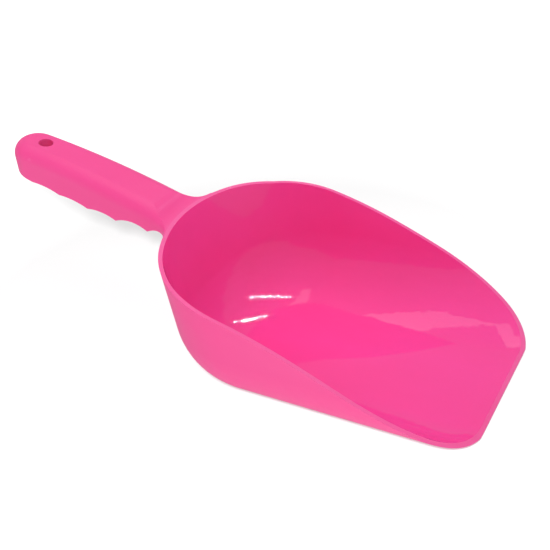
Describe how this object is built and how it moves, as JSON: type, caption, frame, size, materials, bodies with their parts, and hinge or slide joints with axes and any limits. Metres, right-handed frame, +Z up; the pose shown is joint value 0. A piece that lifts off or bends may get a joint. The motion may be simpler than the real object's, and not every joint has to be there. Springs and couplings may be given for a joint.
{
  "type": "feed scoop",
  "caption": "One-handed plastic feed scoop: deep open-front bowl with a sloping rim and a hollow ribbed handle with finger grooves and a hanging hole.",
  "frame": {"origin": "on the floor, under the middle of the scoop's overall length and width", "axes": "+X towards the pouring lip, handle towards -X, +Z up out of the open bowl, Y across"},
  "size_m": [0.32, 0.1548, 0.1183],
  "materials": {
    "bowl": "gloss",
    "handle": "satin",
    "hang_hole_tube": "satin",
    "neck_web": "satin",
    "cross_web_1": "satin",
    "cross_web_2": "satin",
    "cross_web_3": "satin",
    "cross_web_4": "satin"
  },
  "bodies": {
    "root": {"bowl": "bowl", "handle": "handle", "hang_hole_tube": "hang_hole_tube", "neck_web": "neck_web", "cross_web_1": "cross_web_1", "cross_web_2": "cross_web_2", "cross_web_3": "cross_web_3", "cross_web_4": "cross_web_4"}
  },
  "joints": []
}
